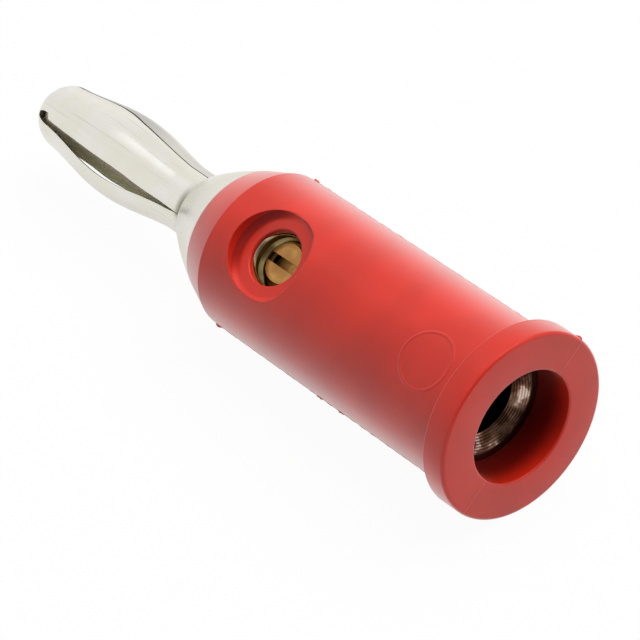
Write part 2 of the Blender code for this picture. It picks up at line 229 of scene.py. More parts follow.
class StageLook(bpy.types.PropertyGroup):
    """Table, lamps and camera."""

    table: colour("Table", "Colour of the table", (0.72, 0.72, 0.71))
    table_up: vector("Table Up", "Direction square to the table", (0.6245, -0.7802, -0.0352))
    table_drop: length("Table Drop", "Distance from the middle of the rear face down to the table", 0.00526)
    table_size: length("Table Size", "Half the width of the table", 0.9)
    table_veil: share("Table Veil", "Part of the table's white that a shadow can't darken", 0.96)
    table_gleam: share("Table Gleam", "The same part where metal mirrors the table", 0.80)
    sky: share("Sky", "Strength of the light from all round", 0.28)
    key_towards: vector("Key Towards", "Direction of the broad lamp over the plug", (0.86, -0.48, -0.12))
    key_light: strength("Key Light", "Light of the broad lamp on a facing surface", 1.42)
    key_width: share("Key Width", "Width of the broad lamp against its distance", 0.95)
    rim_towards: vector("Rim Towards", "Direction of the softbox behind the plug", (0.74, 0.20, 0.64))
    rim_glow: strength("Rim Glow", "Brightness of the softbox behind", 0.1)
    strip_towards: vector("Strip Towards", "Direction of the small softbox over the pin", (0.47, -0.71, 0.48))
    strip_glow: strength("Strip Glow", "Brightness of the small softbox", 0.75)
    strip_tint: colour("Strip Tint", "Colour of the small softbox", (0.80, 0.87, 1.0))
    lamp_distance: length("Lamp Distance", "Distance of every lamp", 0.5)
    card_towards: vector("Card Towards", "Direction of the grey card beside the camera", (0.05, -0.40, -0.90))
    card: colour("Card", "Colour of the grey card", (0.16, 0.15, 0.15))
    card_distance: length("Card Distance", "Distance of the grey card", 0.33)
    card_size: length("Card Size", "Width of the grey card", 0.4)
    eye: vector("Eye", "Place of the camera", (-0.00131672, -0.14820963, -0.10786477))
    eye_forward: vector("Forward", "Direction in which the camera looks", (0.0, 0.77115, 0.63665))
    eye_up: vector("Up", "Direction of the picture's upper edge", (0.82234, -0.36225, 0.43878))
    lens: FloatProperty(name="Lens", description="Focal length in millimetres", default=209.85, min=1)


class Sheet:
    """A node tree with short ways to add nodes and numbers to it."""

    def __init__(self, tree):
        self.tree = tree

    def add(self, kind, inputs=None, **settings):
        made = self.tree.nodes.new(kind)
        for name, value in settings.items():
            setattr(made, name, value)
        for name, value in (inputs or {}).items():
            self.feed(made.inputs[name], value)
        return made

    def feed(self, socket, value):
        if isinstance(value, bpy.types.NodeSocket):
            self.tree.links.new(value, socket)
        else:
            socket.default_value = value

    def maths(self, operation, first, second=0.0, third=0.0, clamp=False):
        numbers = {0: first, 1: second, 2: third}
        return self.add("ShaderNodeMath", numbers, operation=operation, use_clamp=clamp).outputs[0]

    def times(self, product, *factors, clamp=False):
        for factor in factors:
            product = self.maths("MULTIPLY", product, factor, clamp=clamp)
        return product

    def less(self, first, second):
        return self.maths("SUBTRACT", first, second)

    def line(self, value, slope, start, clamp=False):
        """value * slope + start"""
        return self.maths("MULTIPLY_ADD", value, slope, start, clamp)

    def add_up(self, total, *parts):
        """A number, plus each part times its weight"""
        for part, weight in parts:
            total = self.line(part, weight, total)
        return total

    def match(self, first, second):
        made = self.add("ShaderNodeVectorMath", {0: first, 1: second}, operation="DOT_PRODUCT")
        return made.outputs["Value"]

    def unit(self, first):
        return self.add("ShaderNodeVectorMath", {0: first}, operation="NORMALIZE").outputs[0]

    def noise(self, place, scale, detail):
        made = self.add("ShaderNodeTexNoise", {"Vector": place, "Scale": scale, "Detail": detail})
        return made.outputs["Fac"]

    def ramp(self, value, low, high, to_low=0.0, to_high=1.0):
        made = self.add("ShaderNodeMapRange", interpolation_type="SMOOTHSTEP")
        for index, given in enumerate((value, low, high, to_low, to_high)):
            self.feed(made.inputs[index], given)
        return made.outputs["Result"]

    def mix(self, factor, first, second):
        made = self.add("ShaderNodeMix", data_type="RGBA")
        self.feed(made.inputs[0], factor)
        for index, given in ((6, first), (7, second)):
            if not isinstance(given, bpy.types.NodeSocket):
                given = (*given, 1.0)
            self.feed(made.inputs[index], given)
        return made.outputs[2]

    def blend(self, factor, first, second):
        return self.add("ShaderNodeMixShader", {0: factor, 1: first, 2: second}).outputs[0]

    def place(self):
        return self.add("ShaderNodeTexCoord").outputs["Object"]

    def xyz(self, vector):
        made = self.add("ShaderNodeSeparateXYZ", {"Vector": vector})
        return made.outputs

    def vector(self, x, y, z):
        made = self.add("ShaderNodeCombineXYZ", {"X": x, "Y": y, "Z": z})
        return made.outputs[0]

    def from_axis(self, x, y):
        return self.maths("SQRT", self.line(x, x, self.times(y, y)))


def new_group(name, inputs, outputs):
    """An empty shader group with its sockets, and the sheet to fill it."""
    tree = bpy.data.node_groups.new(name, "ShaderNodeTree")
    for socket, kind, value in inputs:
        made = tree.interface.new_socket(socket, in_out="INPUT", socket_type=kind)
        if value is not None:
            made.default_value = value
    for socket, kind in outputs:
        tree.interface.new_socket(socket, in_out="OUTPUT", socket_type=kind)
    sheet = Sheet(tree)
    return sheet, sheet.add("NodeGroupInput").outputs, sheet.add("NodeGroupOutput").inputs


def soft_edges_group():
    """Rounded normals at edges, and a patchy mask of the sharp edges, which some finishes paint paler as wear
    and painted highlight.
    """
    if "Edge Mask" in bpy.data.node_groups:
        return bpy.data.node_groups["Edge Mask"]
    sheet, given, wanted = new_group(
        "Edge Mask",
        [("Radius", "NodeSocketFloat", 0.0001), ("Patchiness", "NodeSocketFloat", 0.5)],
        [("Mask", "NodeSocketFloat"), ("Normal", "NodeSocketVector")],
    )
    rounded = sheet.add("ShaderNodeBevel", {"Radius": given["Radius"]}, samples=4)
    flat = sheet.add("ShaderNodeNewGeometry").outputs["Normal"]
    turned_away = sheet.ramp(sheet.match(rounded.outputs[0], flat), 0.995, 0.80)
    patches = sheet.ramp(sheet.noise(sheet.place(), 900.0, 3.0), 0.35, 0.65)
    kept = sheet.line(sheet.less(patches, 1.0), given["Patchiness"], 1.0)
    sheet.feed(wanted["Mask"], sheet.times(turned_away, kept, clamp=True))
    sheet.feed(wanted["Normal"], rounded.outputs[0])
    return sheet.tree


def skin_grain():
    """Slow clouding and fine grain of a moulded or plated skin."""
    if "Skin Grain" in bpy.data.node_groups:
        return bpy.data.node_groups["Skin Grain"]
    sheet, given, wanted = new_group(
        "Skin Grain",
        [("Cloud Size", "NodeSocketFloat", 0.003), ("Grain Size", "NodeSocketFloat", 0.0002)],
        [("Cloud", "NodeSocketFloat"), ("Grain", "NodeSocketFloat")],
    )
    place = sheet.place()
    for size, wish, detail in (("Cloud Size", "Cloud", 2.0), ("Grain Size", "Grain", 3.0)):
        sheet.feed(wanted[wish], sheet.noise(place, sheet.maths("DIVIDE", 1.0, given[size]), detail))
    return sheet.tree


def fine_lines():
    """Uneven fine lines left by a tool or a drawing die, across the first number of the place given."""
    if "Fine Lines" in bpy.data.node_groups:
        return bpy.data.node_groups["Fine Lines"]
    sheet, given, wanted = new_group(
        "Fine Lines",
        [("Place", "NodeSocketVector", None), ("Spacing", "NodeSocketFloat", 0.0001)],
        [("Mask", "NodeSocketFloat"), ("Broad", "NodeSocketFloat")],
    )
    scale = sheet.maths("DIVIDE", 1.0, given["Spacing"])
    wide = sheet.noise(given["Place"], sheet.times(scale, 0.17), 2.0)
    sheet.feed(wanted["Mask"], sheet.noise(given["Place"], scale, 1.0))
    sheet.feed(wanted["Broad"], sheet.ramp(wide, 0.3, 0.7))
    return sheet.tree


def place_group(sheet, tree, **values):
    """A group in a material, with its own values."""
    made = sheet.add("ShaderNodeGroup", node_tree=tree)
    for name, value in values.items():
        sheet.feed(made.inputs[name.replace("_", " ")], value)
    return made.outputs


def new_finish(name, metallic, **constants):
    """A material with its shader, and the sheet to wire it."""
    material = bpy.data.materials.new(name)
    material.use_nodes = True
    sheet = Sheet(material.node_tree)
    shader = material.node_tree.nodes["Principled BSDF"]
    shader.inputs["Metallic"].default_value = metallic
    for socket, value in constants.items():
        shader.inputs[socket.replace("_", " ")].default_value = value
    return material, sheet, shader


def raise_surface(sheet, shader, height, depth, normal):
    """Bumps the shader by a height between 0 and 1, depth metres tall."""
    values = {"Height": height, "Distance": depth, "Strength": 1.0, "Normal": normal}
    sheet.feed(shader.inputs["Normal"], sheet.add("ShaderNodeBump", values).outputs[0])


def metal_marks(sheet, place, look, cloud_size, grain_size):
    """The fine lines, the grain and the soft edges of a metal."""
    lines = place_group(sheet, fine_lines(), Place=place, Spacing=look.line_spacing)
    grain = place_group(sheet, skin_grain(), Cloud_Size=cloud_size, Grain_Size=grain_size)
    return lines, grain, place_group(sheet, soft_edges_group(), Radius=look.edge_radius, Patchiness=0.4)


def across_turning(sheet, radius, along, slope):
    """A place that runs across the turning lines of any turned face."""
    return sheet.vector(sheet.line(along, slope, radius), 0.01237, 0.00731)


def tinted(tone, factors):
    """A colour times a factor, or times one factor for each of its three parts, with no part over 1."""
    if isinstance(factors, float):
        factors = (factors, factors, factors)
    return tuple(min(1.0, part * factor) for part, factor in zip(tone, factors))


def red_plastic(look, hole_height):
    """Moulded plastic: clouded, finely grained, with the mould's parting line painted light, edges painted
    paler as wear and painted highlight, and painted shade in the wire mouth and on the recess wall.
    """
    material, sheet, shader = new_finish(
        "red_plastic_moulded",
        0.0,
        IOR=1.5,
        Sheen_Weight=look.fuzz,
        Sheen_Roughness=0.3,
        Sheen_Tint=(1.0, 0.8, 0.62, 1.0),
        Coat_Roughness=0.28,
        Coat_IOR=1.5,
    )
    grain = place_group(sheet, skin_grain(), Cloud_Size=0.0035, Grain_Size=0.00022)
    edge_marks = place_group(sheet, soft_edges_group(), Radius=look.edge_radius, Patchiness=0.6)
    x, y, z = sheet.xyz(sheet.place())
    wander = 0.00006
    off_line = sheet.maths("ABSOLUTE", sheet.line(grain["Cloud"], wander, sheet.less(y, wander / 2)))
    parting = sheet.ramp(off_line, look.parting_width, look.parting_width * 0.3)
    ground = sheet.mix(sheet.ramp(grain["Cloud"], 0.35, 0.7), look.red, tinted(look.red, 0.86))
    # Painted shade: the wire mouth darkens with depth.
    within_seat = sheet.ramp(sheet.from_axis(x, y), look.seat_radius, look.mouth_radius)
    in_mouth = sheet.times(sheet.ramp(z, 0.0, 0.0014), within_seat)
    ground = sheet.mix(sheet.times(in_mouth, 0.92), ground, look.painted_shade_red)
    # Painted shade: the recess wall on the tip side is darkened, where shade falls.
    from_hole = sheet.from_axis(x, sheet.less(z, hole_height))
    sunk = sheet.ramp(from_hole, look.recess_radius + 0.00001, look.recess_radius - 0.00004)
    near_wall = sheet.ramp(from_hole, look.recess_radius - 0.00055, look.recess_radius - 0.0003)
    towards_tip = sheet.line(sheet.less(z, hole_height), 0.95, sheet.times(x, 0.31))
    tip_half = sheet.ramp(towards_tip, 0.0005, 0.0019)
    shaded_wall = sheet.times(sunk, sheet.ramp(y, 0.0, -0.001), near_wall, tip_half)
    ground = sheet.mix(sheet.times(shaded_wall, 0.7), ground, look.painted_shade_red)
    # The parting line is painted paler, a painted highlight of the step between the mould halves.
    lined = sheet.mix(sheet.times(parting, 0.5), ground, look.edge_highlight_and_rub)
    # The edges are painted paler: partly rubbed wear, partly a painted highlight.
    pale_edged = sheet.mix(sheet.times(edge_marks["Mask"], 0.45), lined, look.edge_highlight_and_rub)
    sheet.feed(shader.inputs["Base Color"], pale_edged)
    facing = sheet.add("ShaderNodeLayerWeight", {"Blend": 0.5}).outputs["Facing"]
    edge_on = sheet.ramp(facing, 0.34, 0.76, 0.0, look.haze)
    open_skin = sheet.less(1.0, sheet.maths("MAXIMUM", shaded_wall, in_mouth))
    off_flange_edge = sheet.maths("ABSOLUTE", sheet.less(z, look.flange_height - 0.00005))
    open_skin = sheet.times(open_skin, sheet.ramp(off_flange_edge, 0.00005, 0.00012, 0.3, 1.0))
    sheet.feed(shader.inputs["Coat Weight"], sheet.times(edge_on, open_skin, clamp=True))
    dull = sheet.add_up(look.roughness - 0.08, (grain["Grain"], 0.16), (shaded_wall, 0.5))
    sheet.feed(shader.inputs["Roughness"], sheet.line(edge_marks["Mask"], -0.06, dull, clamp=True))
    raise_surface(sheet, shader, sheet.line(parting, 2.5, grain["Grain"]), look.grain_depth, edge_marks["Normal"])
    return material


def barrel_nickel(look):
    """Plated turned brass: fine rings, soft edges, bare metal with painted shade inside the tapped hole,
    painted shade in the groove and the bore, painted light and shade on the post, and painted reflections in
    the funnel and on the rear face.
    """
    material, sheet, shader = new_finish("nickel_plate_turned", 1.0)
    x, y, z = sheet.xyz(sheet.place())
    radius = sheet.from_axis(x, y)
    rings = across_turning(sheet, radius, z, -1.3)
    lines, grain, edge_marks = metal_marks(sheet, rings, look, 0.002, 0.00012)
    from_hole = sheet.from_axis(x, sheet.less(z, look.hole_height))
    tapped = sheet.ramp(from_hole, look.hole_radius + 0.00012, look.hole_radius + 0.00004)
    # Bare brass with painted shade inside the tapped hole.
    inside = sheet.times(tapped, sheet.ramp(y, -0.0008, -0.0012))
    warm = tinted(look.nickel, (0.97, 0.95, 0.88))
    plated = sheet.mix(sheet.ramp(grain["Cloud"], 0.38, 0.66), look.nickel, warm)
    lined = sheet.mix(sheet.times(lines["Broad"], 0.07), plated, tinted(look.nickel, 0.8))
    ground = sheet.mix(inside, lined, look.bare_brass_and_shade)
    # Painted shade down in the groove between the lip and the post.
    floor = look.shoulder_height - look.groove_depth
    above_floor = sheet.ramp(z, floor - 0.0002, floor - 0.0001)
    in_groove = sheet.times(sheet.ramp(radius, look.lip_radius + 0.00002, look.lip_radius), above_floor)
    on_post = sheet.ramp(radius, look.post_radius + 0.0001, look.post_radius + 0.00005)
    covered = sheet.times(on_post, above_floor)
    behind = sheet.ramp(z, BARREL_REAR + 0.0016, BARREL_REAR + 0.0012)
    wide = look.bore_radius + look.funnel_width
    in_funnel = sheet.times(behind, sheet.ramp(radius, wide + 0.00006, wide))
    rear_face = sheet.times(behind, sheet.ramp(radius, wide + 0.00001, wide + 0.00006))
    # Painted shade down in the wire bore.
    within_bore = sheet.ramp(radius, look.bore_radius + 0.00003, look.bore_radius)
    in_bore = sheet.times(within_bore, sheet.ramp(z, HEAD_SEAT - 0.00105, HEAD_SEAT - 0.00155))
    # Painted reflection: the rear face round the funnel is painted dark red, the red mouth wall mirrored in
    # it.
    painted_red_reflection = tinted(look.funnel, (0.5, 0.25, 0.25))
    # Painted reflection and glints: the funnel's dark brown and bright streaks, partly tarnish and burnish.
    streak = sheet.noise(sheet.place(), 1300.0, 2.0)
    funnel_dark_reflection = tinted(look.funnel, (0.3, 0.25, 0.2))
    funnel = sheet.mix(sheet.ramp(streak, 0.38, 0.6), funnel_dark_reflection, look.funnel)
    funnel = sheet.mix(sheet.ramp(streak, 0.58, 0.66), funnel, look.funnel_burnish_and_glint)
    # Painted light and shade: the post is painted lighter on its -X side and darker elsewhere.
    lit_side = sheet.ramp(x, -0.0009, -0.00145)
    post = sheet.mix(lit_side, tinted(look.post, 0.85), tinted(look.post, 1.3))
    tones = (look.stain_and_shade, post, painted_red_reflection, funnel, look.bore)
    for mask, tone in zip((in_groove, covered, rear_face, in_funnel, in_bore), tones):
        ground = sheet.mix(mask, ground, tone)
    sheet.feed(shader.inputs["Base Color"], ground)
    sheet.feed(shader.inputs["Metallic"], sheet.line(covered, -0.1, 1.0))
    dull = sheet.add_up(look.roughness - 0.04, (lines["Broad"], 0.08), (covered, 0.25), (in_funnel, -0.15))
    dull = sheet.add_up(dull, (grain["Grain"], 0.06), (edge_marks["Mask"], -0.05))
    sheet.feed(shader.inputs["Roughness"], dull)
    raise_surface(sheet, shader, lines["Mask"], 0.0000012, edge_marks["Normal"])
    return material


def spring_nickel(look, dome_height, shoulder):
    """Plated spring strip: lengthwise drawing lines outside; inside the cage, dull, with painted light on the
    inner side and painted shade on the cut edges; painted shadow at the roots and painted shade on the far
    flank.
    """
    material, sheet, shader = new_finish("spring_nickel_drawn", 1.0)
    x, y, z = sheet.xyz(sheet.place())
    around = sheet.unit(sheet.vector(x, y, 0.0))
    across_x, across_y = (sheet.times(part, look.cage_radius) for part in sheet.xyz(around)[:2])
    along = sheet.vector(across_x, across_y, sheet.times(z, 0.012))
    lines, grain, edge_marks = metal_marks(sheet, along, look, 0.0016, 0.00015)
    over_dome = sheet.maths("MAXIMUM", sheet.less(z, dome_height), 0.0)
    # Inside the cage: painted light on the inner side, painted shade on the cut edges.
    facing = sheet.add("ShaderNodeNewGeometry").outputs["True Normal"]
    match = sheet.match(facing, sheet.unit(sheet.vector(x, y, over_dome)))
    within = sheet.ramp(match, 0.75, 0.55)
    inner_side = sheet.ramp(match, -0.6, -0.8)
    warm = tinted(look.nickel, (0.98, 0.965, 0.91))
    plated = sheet.mix(sheet.ramp(grain["Cloud"], 0.36, 0.68), look.nickel, warm)
    lined = sheet.mix(sheet.times(lines["Broad"], 0.12), plated, tinted(look.nickel, 0.78))
    scratch = sheet.ramp(lines["Mask"], 0.66, 0.76, 0.0, 0.3)
    scratched = sheet.mix(scratch, lined, tinted(look.nickel, 0.45))
    # Painted shadow at the leaves' roots by the barrel's lip, strongest beside the slot.
    at_root = sheet.ramp(z, shoulder + 0.00075, shoulder + 0.0003)
    by_slot = sheet.times(sheet.ramp(x, 0.0013, -0.0006), sheet.ramp(x, -0.00125, -0.001, 0.15, 1.0))
    root_shadowed = sheet.mix(sheet.times(at_root, by_slot, 0.8), scratched, look.stain_and_shade)
    # Painted shade on the far leaf's flank past the slot, higher up the pin.
    azimuth = sheet.maths("ARCTAN2", y, x)
    slot_azimuth = sheet.ramp(z, shoulder + 0.006, shoulder + 0.0113, -0.61, -0.36)
    past_slot = sheet.ramp(sheet.less(azimuth, slot_azimuth), -0.01, 0.02)
    high_up = sheet.ramp(z, shoulder + 0.0035, shoulder + 0.0065, 0.4, 0.95)
    far_side = sheet.times(past_slot, sheet.ramp(azimuth, 0.0, -0.3), high_up)
    outside = sheet.mix(far_side, root_shadowed, look.flank)
    dark = sheet.mix(inner_side, look.cut_edge_shade, look.inside)
    sheet.feed(shader.inputs["Base Color"], sheet.mix(within, outside, dark))
    sheet.feed(shader.inputs["Metallic"], sheet.line(within, -0.1, 1.0))
    dull = sheet.add_up(look.roughness - 0.06, (lines["Broad"], 0.12), (grain["Grain"], 0.06), (within, 0.2))
    sheet.feed(shader.inputs["Roughness"], dull)
    raise_surface(sheet, shader, lines["Mask"], 0.0000015, edge_marks["Normal"])
    return material


def turned_brass(name, look, base, tarnish, axis_height, crest, root):
    """Brass turned round the screw's axis, darker in the thread's roots."""
    material, sheet, shader = new_finish(name, 1.0)
    x, y, z = sheet.xyz(sheet.place())
    radius = sheet.from_axis(x, sheet.less(z, axis_height))
    rings = across_turning(sheet, radius, y, 1.3)
    lines, grain, edge_marks = metal_marks(sheet, rings, look, 0.0009, 0.00009)
    stain_and_shade = sheet.times(sheet.ramp(radius, crest, root), sheet.ramp(grain["Cloud"], 0.2, 0.6, 0.35, 0.85))
    ground = sheet.mix(stain_and_shade, sheet.mix(sheet.times(lines["Broad"], 0.45), base, tarnish), tarnish)
    cloudy = sheet.mix(sheet.ramp(grain["Cloud"], 0.55, 0.8, 0.0, 0.4), ground, tarnish)
    pale_edged = sheet.mix(sheet.times(edge_marks["Mask"], 0.5), cloudy, tinted(base, 1.15))
    sheet.feed(shader.inputs["Base Color"], pale_edged)
    dull = sheet.add_up(look.roughness - 0.07, (grain["Grain"], 0.14), (lines["Broad"], 0.08))
    sheet.feed(shader.inputs["Roughness"], dull)
    raise_surface(sheet, shader, lines["Mask"], 0.0000015, edge_marks["Normal"])
    return material


def put_in_scene(name, data):
    """A new object in the scene."""
    made = bpy.data.objects.new(name, data)
    bpy.context.scene.collection.objects.link(made)
    return made


def new_mesh(name, points, faces, material=None):
    """A mesh of the points and faces given, with its material."""
    mesh = bpy.data.meshes.new(name)
    mesh.from_pydata([tuple(point) for point in points], [], faces)
    if material:
        mesh.materials.append(material)
    return mesh


def new_piece(name, points, faces, material):
    """A mesh piece with its material."""
    mesh = new_mesh(name, points, faces, material)
    mesh.validate()
    face_outward(mesh)
    smooth_faces(mesh)
    piece = put_in_scene(name, mesh)
    return piece


def add_strip(points, faces, rings, closed=False):
    """Adds a skin over rings of equal count, either closed on itself or with a cap at each end."""
    first, count, rows = len(points), len(rings[0]), len(rings)
    for ring in rings:
        points.extend(ring)
    for row in range(rows if closed else rows - 1):
        here, after = first + row * count, first + (row + 1) % rows * count
        for step in range(count):
            follower = (step + 1) % count
            faces.append((here + step, here + follower, after + follower, after + step))
    if not closed:
        faces.append(tuple(reversed(range(first, first + count))))
        faces.append(tuple(range(len(points) - count, len(points))))


def rounded(corners, steps=8):
    """An outline with each corner (radius, height, fillet) turned into an arc of its fillet."""
    outline = []
    for index, (r, z, fillet) in enumerate(corners):
        here = Vector((r, z))
        if fillet == 0:
            outline.append(here)
            continue
        back = (Vector(corners[index - 1][:2]) - here).normalized()
        ahead = (Vector(corners[(index + 1) % len(corners)][:2]) - here).normalized()
        half = back.angle(ahead) / 2
        centre = here + (back + ahead).normalized() * (fillet / sin(half))
        start = here + back * (fillet / tan(half)) - centre
        end = here + ahead * (fillet / tan(half)) - centre
        turn = atan2(start.x * end.y - start.y * end.x, start.dot(end))
        for step in range(steps + 1):
            outline.append(centre + Matrix.Rotation(turn * step / steps, 2) @ start)
    return outline


def turned(outline, segments):
    """Points and faces of a shape turned about Z, from a closed outline or one that starts and ends on Z."""
    on_axis = outline[0][0] < 1e-7
    points, rings = [], []
    for r, z in outline:
        if r < 1e-7:
            rings.append([len(points)] * segments)
            points.append((0, 0, z))
        else:
            rings.append(list(range(len(points), len(points) + segments)))
            angles = [tau * step / segments for step in range(segments)]
            points += [(r * cos(angle), r * sin(angle), z) for angle in angles]
    followers = rings[1:] if on_axis else rings[1:] + rings[:1]
    faces = []
    for ring, following in zip(rings, followers):
        for step in range(segments):
            after = (step + 1) % segments
            corners = (ring[step], ring[after], following[after], following[step])
            faces.append(tuple(dict.fromkeys(corners)))
    return points, faces


def carve(piece, outline, height, segments):
    """Takes a shape turned round an axis along -Y out of a piece, at a height over the rear face."""
    points, faces = turned(outline, segments)
    mesh = new_mesh("side_cutter", [(x, -z, y + height) for x, y, z in points], faces)
    face_outward(mesh)
    cut_with(piece, mesh)


def face_outward(mesh):
    """Turns every face of a closed mesh outward."""
    tidy = bmesh.new()
    tidy.from_mesh(mesh)
    bmesh.ops.recalc_face_normals(tidy, faces=tidy.faces)
    tidy.to_mesh(mesh)
    tidy.free()


def cut_with(piece, cutter_mesh):
    """Takes a closed mesh out of a piece for good, and smooths what is left."""
    cutter = put_in_scene("cutter", cutter_mesh)
    cut = piece.modifiers.new("cut", "BOOLEAN")
    cut.object = cutter
    cut.solver = "EXACT"
    bpy.context.view_layer.update()
    shaped = bpy.data.meshes.new_from_object(piece.evaluated_get(bpy.context.evaluated_depsgraph_get()))
    piece.modifiers.clear()
    piece.data = shaped
    bpy.data.objects.remove(cutter)
    smooth_faces(shaped)


def smooth_faces(mesh):
    """Smooth shading with sharp edges kept sharp."""
    mesh.polygons.foreach_set("use_smooth", [True] * len(mesh.polygons))
    mesh.set_sharp_from_angle(angle=SHARP_ANGLE)


def moulded_insulator(look, hole_height, material):
    """The handle with its flange, wire mouth, tapered front and screw recess; the round ejector mark's rim
    comes with the mould flash.
    """
    outline = rounded(
        [
            (look.mouth_radius, 0, 0.00012),
            (look.flange_radius, 0, 0.0002),
            (look.flange_radius, look.flange_height, 0.0001),
            (look.body_radius, look.flange_height, 0.0002),
            (look.body_radius, look.body_length - look.taper_length, 0.00005),
            (look.front_radius, look.body_length, 0.00008),
            (look.seat_radius, look.body_length, 0.00003),
            (look.seat_radius, look.lip_height, 0),
            (look.mouth_radius, look.lip_height, 0.00004),
        ]
    )
    points, faces = turned(outline, 256)
    body = new_piece("moulded_insulator", points, faces, material)
    start, beyond = 0.0019, 2 * look.body_radius
    bevel = 0.00006
    access = rounded(
        [
            (0, start, 0),
            (look.access_radius, start, 0),
            (look.access_radius, look.recess_level - bevel, 0),
            (look.access_radius + bevel, look.recess_level, 0),
            (look.recess_radius, look.recess_level, look.recess_fillet),
            (look.recess_radius, beyond, 0),
            (0, beyond, 0),
        ],
        10,
    )
    carve(body, access, hole_height, 128)
    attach(body, "plug")
    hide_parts("insulator")
    return body


def turned_barrel(look, spring, material):
    """The barrel with its funnel and bore, tapered head, leaf groove, post and tapped hole."""
    post, groove, head = look.post_radius, look.lip_radius, look.head_radius
    shoulder, rear_corner, edge = look.shoulder_height, 0.00015, 0.00003
    lip = groove + 0.00012
    dome_z = PIN_TIP - spring.cage_radius
    groove_floor = shoulder - look.groove_depth
    leans = [pi / 2 * step / 16 for step in range(17)]
    outline = [(post * sin(lean), dome_z + post * cos(lean)) for lean in leans]
    outline += [(post, groove_floor), (groove, groove_floor), (groove, shoulder)]
    outline += [(lip - 0.00002, shoulder), (lip, shoulder - 0.00002)]
    front = Vector((lip + 0.00016, shoulder - 0.00012))
    back = Vector((head, HEAD_SEAT + 0.00012))
    outward = Vector((front.y - back.y, back.x - front.x)).normalized()
    for step in range(33):
        along = step / 32
        bow = 4 * look.head_bow * along * (1 - along)
        outline.append(tuple(front.lerp(back, along) + outward * bow))
    outline += [(head, HEAD_SEAT + edge), (head - edge, HEAD_SEAT), (look.barrel_radius, HEAD_SEAT)]
    outline.append((look.barrel_radius, BARREL_REAR + rear_corner))
    outline.append((look.barrel_radius - rear_corner, BARREL_REAR))
    wide = look.bore_radius + look.funnel_width
    outline += [(wide + edge, BARREL_REAR), (wide, BARREL_REAR + 0.00001)]
    steps = 14 * look.funnel_rings
    for step in range(1, steps):
        along = step / steps
        ripple = look.ring_depth * (abs(sin(pi * along * look.funnel_rings)) - 0.5)
        z = BARREL_REAR + look.funnel_depth * along + 0.8 * ripple
        outline.append((wide - look.funnel_width * along + 0.6 * ripple, z))
    bore_end = look.hole_height + 0.0027
    drill_cone = look.bore_radius / tan(radians(59))
    outline += [(look.bore_radius, BARREL_REAR + look.funnel_depth), (look.bore_radius, bore_end)]
    outline.append((0, bore_end + drill_cone))
    points, faces = turned(outline, 224)
    barrel = new_piece("turned_barrel", points, faces, material)
    countersink = 0.00016
    mouth = look.hole_radius + countersink
    tapped = [
        (0, look.bore_radius / 2),
        (look.hole_radius, look.bore_radius / 2),
        (look.hole_radius, look.barrel_radius - countersink),
        (mouth, look.barrel_radius),
        (mouth, 2 * look.barrel_radius),
        (0, 2 * look.barrel_radius),
    ]
    carve(barrel, tapped, look.hole_height, 96)
    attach(barrel, "plug")
    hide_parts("barrel")
    return barrel


# Heights where the slots' edges are given, as shares of the way from the leaves' roots to the tip
SLOT_HEIGHTS = (
    (0, 0.084, 0.151, 0.217, 0.271, 0.324, 0.385, 0.465, 0.552)
    + (0.666, 0.753, 0.833, 0.866, 0.88, 0.9, 0.926, 0.943)
)
# Each slot's first and last degree there. The leaves are bent by hand, so that no two slots are alike
SLOT_EDGES = (
    (
        (59.3, 59, 57.5, 55.8, 54.3, 52.5, 49.7, 49.5, 50, 51.8, 54, 55, 54.8, 50.5, 51.5, 54, 57),
        (61.7, 62, 63.5, 65.2, 66.7, 68.5, 71.3, 71.5, 71, 69.2, 67, 66, 66.2, 70.5, 69.5, 67, 64),
    ),
    (
        (149.5, 149, 147, 143, 139.5, 136, 131, 128, 128, 133, 136, 138.5, 139, 139, 139.5, 140, 141),
        (151.5, 152, 152, 152, 151.5, 151, 150.5, 150, 149, 148, 146, 143, 142.5, 149, 148, 147, 145),
    ),
    (
        (238, 237.2, 233.5, 231, 229.2, 227.4, 225.8, 225.4, 226.9)
        + (230.6, 233.5, 235.2, 235.6, 235.9, 237, 238.5, 240.5),
        (239.5, 238, 238.8, 239.8, 241.3, 243.6, 246.6, 248.2, 248.6)
        + (248.2, 246.9, 246.3, 246.8, 256, 255.5, 252, 248),
    ),
    (
        (323.5, 323.5, 323.7, 324, 324, 324, 324, 325, 329.5) + (333.5, 336, 338, 338, 338, 338, 338, 338.5),
        (325, 325.2, 325.5, 325.8, 325.8, 325.8, 326, 327.2, 332)
        + (336, 338.5, 341, 341.5, 341.5, 341.5, 341.5, 341),
    ),
)


def smooth_between(places, values, place):
    """The value at a place, on a smooth curve through the values that never swings past them."""
    spans = [far - near for near, far in zip(places, places[1:])]
    steps = [(after - here) / span for here, after, span in zip(values, values[1:], spans)]
    slopes = [steps[0]]
    for back, ahead in zip(steps, steps[1:]):
        slopes.append(2 * back * ahead / (back + ahead) if back * ahead > 0 else 0)
    slopes.append(steps[-1])
    row = min(max(bisect(places, place), 1), len(places) - 1) - 1
    span = spans[row]
    t = min(max((place - places[row]) / span, 0), 1)
    start = values[row] * (1 + 2 * t) * (1 - t) ** 2 + slopes[row] * span * t * (1 - t) ** 2
    end = values[row + 1] * t * t * (3 - 2 * t) + slopes[row + 1] * span * t * t * (t - 1)
    return start + end


